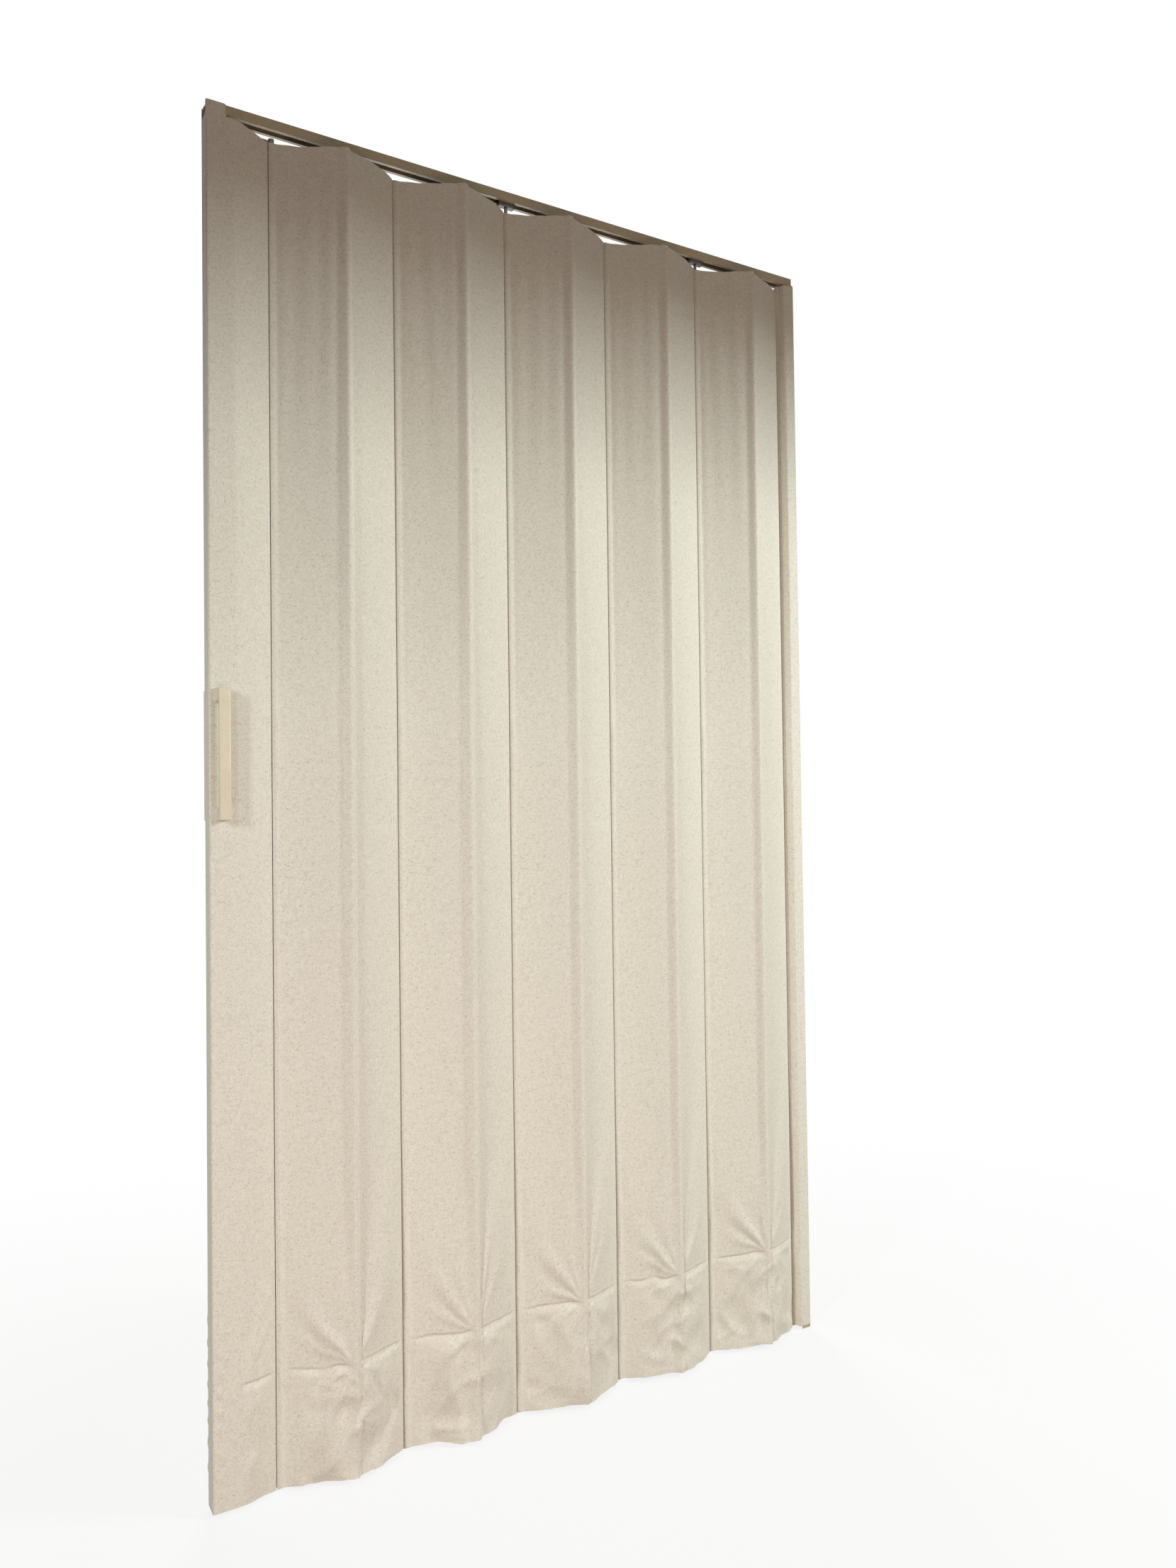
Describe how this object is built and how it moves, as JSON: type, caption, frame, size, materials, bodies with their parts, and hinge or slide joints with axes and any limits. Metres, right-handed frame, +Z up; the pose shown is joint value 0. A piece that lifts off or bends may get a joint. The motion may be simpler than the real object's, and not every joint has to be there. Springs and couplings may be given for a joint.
{
  "type": "accordion folding door",
  "caption": "Pleated accordion door on a pantograph frame: it hangs from a ceiling track, is fixed to one jamb and folds sideways behind a lead post with pulls.",
  "frame": {"origin": "on the floor, under the middle of the door as drawn across the opening", "axes": "+X along the track towards the jamb post, -Y out of the front, +Z up to the header"},
  "size_m": [1.219, 0.0946, 2.134],
  "materials": {
    "cover": "matt vinyl-coated fabric with a fine mottled grain",
    "enamel": "satin beige enamel",
    "lead_core": "satin, beige",
    "steel": "zinc-plated",
    "zinc": "plain die casting",
    "nylon": "natural nylon",
    "pull": "semi-gloss cream"
  },
  "bodies": {
    "frame": {"track": "enamel", "jamb_post": "enamel", "jamb_hinge": "steel", "jamb_cover": "cover"},
    "arm_a6": {"arm_a6": "steel", "front_leaf_10": "cover"},
    "arm_b6": {"arm_b6": "steel", "back_leaf_10": "cover"},
    "arm_a5": {"arm_a5": "steel", "front_leaf_09": "cover", "back_leaf_08": "cover", "fold_rods_a5": "steel"},
    "arm_b5": {"arm_b5": "steel", "back_leaf_09": "cover", "front_leaf_08": "cover", "fold_rods_b5": "steel"},
    "arm_a4": {"arm_a4": "steel", "back_leaf_07": "cover", "front_leaf_06": "cover", "centre_rod_4": "steel"},
    "arm_b4": {"arm_b4": "steel", "front_leaf_07": "cover", "back_leaf_06": "cover"},
    "arm_a3": {"arm_a3": "steel", "front_leaf_05": "cover", "back_leaf_04": "cover", "fold_rods_a3": "steel"},
    "arm_b3": {"arm_b3": "steel", "back_leaf_05": "cover", "front_leaf_04": "cover", "fold_rods_b3": "steel"},
    "arm_a2": {"arm_a2": "steel", "back_leaf_03": "cover", "front_leaf_02": "cover", "centre_rod_2": "steel"},
    "arm_b2": {"arm_b2": "steel", "front_leaf_03": "cover", "back_leaf_02": "cover"},
    "arm_a1": {"arm_a1": "steel", "front_leaf_01": "cover", "fold_rods_a1": "steel"},
    "arm_b1": {"arm_b1": "steel", "back_leaf_01": "cover", "fold_rods_b1": "steel"},
    "trolley_3": {"trolley_3": "zinc", "hanger_rod_3": "steel"},
    "wheels_3": {"wheels_3": "nylon"},
    "trolley_5": {"trolley_5": "zinc", "hanger_rod_5": "steel"},
    "wheels_5": {"wheels_5": "nylon"},
    "lead": {"lead_post": "lead_core", "lead_cover": "cover", "lead_brackets": "steel", "lead_rod": "steel", "lead_carriage": "zinc", "pull_front": "pull", "pull_back": "pull", "pull_studs": "steel"},
    "lead_wheels_outer": {"lead_wheels_outer": "nylon"},
    "lead_wheels_inner": {"lead_wheels_inner": "nylon"}
  },
  "joints": [
    {"name": "fold", "type": "hinge", "parent": "frame", "child": "arm_a6", "pos_m": [0.5803, 0, 0], "axis": [0, 0, 1], "range_deg": [0, 56.5]},
    {"name": "hinge_b6", "type": "hinge", "parent": "frame", "child": "arm_b6", "pos_m": [0.5803, 0, 0], "axis": [0, 0, 1], "range_deg": [-56.5, 0]},
    {"name": "hinge_a5", "type": "hinge", "parent": "arm_a6", "child": "arm_a5", "pos_m": [0.47175, -0.04276, 0], "axis": [0, 0, 1], "range_deg": [-113, 0]},
    {"name": "hinge_b5", "type": "hinge", "parent": "arm_b6", "child": "arm_b5", "pos_m": [0.47175, 0.04276, 0], "axis": [0, 0, 1], "range_deg": [0, 113]},
    {"name": "hinge_a4", "type": "hinge", "parent": "arm_a5", "child": "arm_a4", "pos_m": [0.25465, 0.04276, 0], "axis": [0, 0, 1], "range_deg": [0, 113]},
    {"name": "hinge_b4", "type": "hinge", "parent": "arm_b5", "child": "arm_b4", "pos_m": [0.25465, -0.04276, 0], "axis": [0, 0, 1], "range_deg": [-113, 0]},
    {"name": "hinge_a3", "type": "hinge", "parent": "arm_a4", "child": "arm_a3", "pos_m": [0.03755, -0.04276, 0], "axis": [0, 0, 1], "range_deg": [-113, 0]},
    {"name": "hinge_b3", "type": "hinge", "parent": "arm_b4", "child": "arm_b3", "pos_m": [0.03755, 0.04276, 0], "axis": [0, 0, 1], "range_deg": [0, 113]},
    {"name": "hinge_a2", "type": "hinge", "parent": "arm_a3", "child": "arm_a2", "pos_m": [-0.17955, 0.04276, 0], "axis": [0, 0, 1], "range_deg": [0, 113]},
    {"name": "hinge_b2", "type": "hinge", "parent": "arm_b3", "child": "arm_b2", "pos_m": [-0.17955, -0.04276, 0], "axis": [0, 0, 1], "range_deg": [-113, 0]},
    {"name": "hinge_a1", "type": "hinge", "parent": "arm_a2", "child": "arm_a1", "pos_m": [-0.39665, -0.04276, 0], "axis": [0, 0, 1], "range_deg": [-113, 0]},
    {"name": "hinge_b1", "type": "hinge", "parent": "arm_b2", "child": "arm_b1", "pos_m": [-0.39665, 0.04276, 0], "axis": [0, 0, 1], "range_deg": [0, 113]},
    {"name": "hanger_5", "type": "hinge", "parent": "arm_a5", "child": "trolley_5", "pos_m": [0.3632, 0, 0], "axis": [0, 0, 1], "range_deg": [0, 56.5]},
    {"name": "hanger_3", "type": "hinge", "parent": "arm_a3", "child": "trolley_3", "pos_m": [-0.071, 0, 0], "axis": [0, 0, 1], "range_deg": [0, 56.5]},
    {"name": "lead_hinge", "type": "hinge", "parent": "arm_a1", "child": "lead", "pos_m": [-0.5052, 0, 0], "axis": [0, 0, 1], "range_deg": [0, 56.5]},
    {"name": "wheels_5_spin", "type": "hinge", "parent": "trolley_5", "child": "wheels_5", "pos_m": [0.3632, 0, 2.1252], "axis": [0, 1, 0], "continuous": true},
    {"name": "wheels_3_spin", "type": "hinge", "parent": "trolley_3", "child": "wheels_3", "pos_m": [-0.071, 0, 2.1252], "axis": [0, 1, 0], "continuous": true},
    {"name": "lead_wheels_outer_spin", "type": "hinge", "parent": "lead", "child": "lead_wheels_outer", "pos_m": [-0.5985, 0, 2.1252], "axis": [0, 1, 0], "continuous": true},
    {"name": "lead_wheels_inner_spin", "type": "hinge", "parent": "lead", "child": "lead_wheels_inner", "pos_m": [-0.5825, 0, 2.1252], "axis": [0, 1, 0], "continuous": true}
  ],
  "couplings": [
    {"joint": "hinge_b6", "follows": "fold", "ratio": -1},
    {"joint": "hinge_a5", "follows": "fold", "ratio": -2},
    {"joint": "hinge_b5", "follows": "fold", "ratio": 2},
    {"joint": "hinge_a4", "follows": "fold", "ratio": 2},
    {"joint": "hinge_b4", "follows": "fold", "ratio": -2},
    {"joint": "hinge_a3", "follows": "fold", "ratio": -2},
    {"joint": "hinge_b3", "follows": "fold", "ratio": 2},
    {"joint": "hinge_a2", "follows": "fold", "ratio": 2},
    {"joint": "hinge_b2", "follows": "fold", "ratio": -2},
    {"joint": "hinge_a1", "follows": "fold", "ratio": -2},
    {"joint": "hinge_b1", "follows": "fold", "ratio": 2},
    {"joint": "hanger_5", "follows": "fold", "ratio": 1},
    {"joint": "hanger_3", "follows": "fold", "ratio": 1},
    {"joint": "lead_hinge", "follows": "fold", "ratio": 1}
  ]
}
